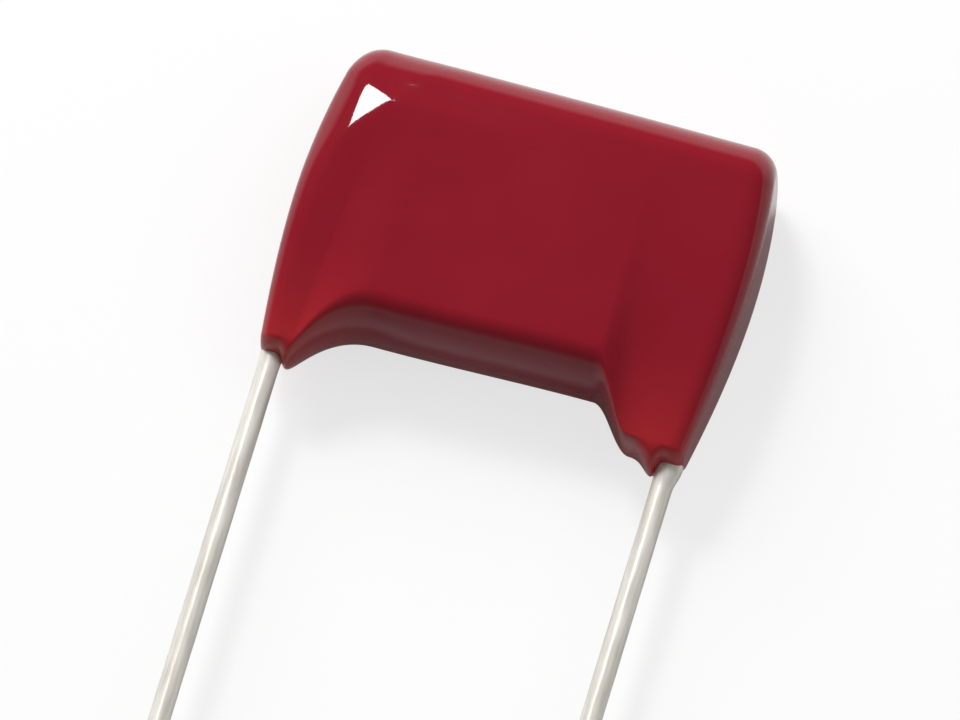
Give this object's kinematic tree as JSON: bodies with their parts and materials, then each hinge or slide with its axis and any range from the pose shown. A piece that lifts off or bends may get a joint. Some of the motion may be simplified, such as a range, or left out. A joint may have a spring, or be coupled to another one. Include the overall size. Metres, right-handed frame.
{
  "type": "dipped film capacitor",
  "caption": "Film capacitor dipped in glossy resin, lying on its back: a flat rounded body with a shallow arch below and straight round wire leads out of its feet.",
  "frame": {"origin": "middle of the whole part's box across X and Y, on the surface that its flat back rests on", "axes": "+Z out of the front face, +X across the two leads, +Y away from their cut ends"},
  "size_m": [0.017, 0.0324, 0.0054],
  "materials": {
    "coating_resin": "glossy dipped resin",
    "metallised_film": "wound metallised film",
    "plain_film": "clear film",
    "sprayed_zinc": "rough sprayed metal",
    "tinned_wire": "bright tinned"
  },
  "bodies": {
    "root": {"epoxy_coating": "coating_resin", "film_winding": "metallised_film", "outer_wrap": "plain_film", "end_spray_left": "sprayed_zinc", "end_spray_right": "sprayed_zinc", "lead_left": "tinned_wire", "lead_right": "tinned_wire"}
  },
  "joints": []
}
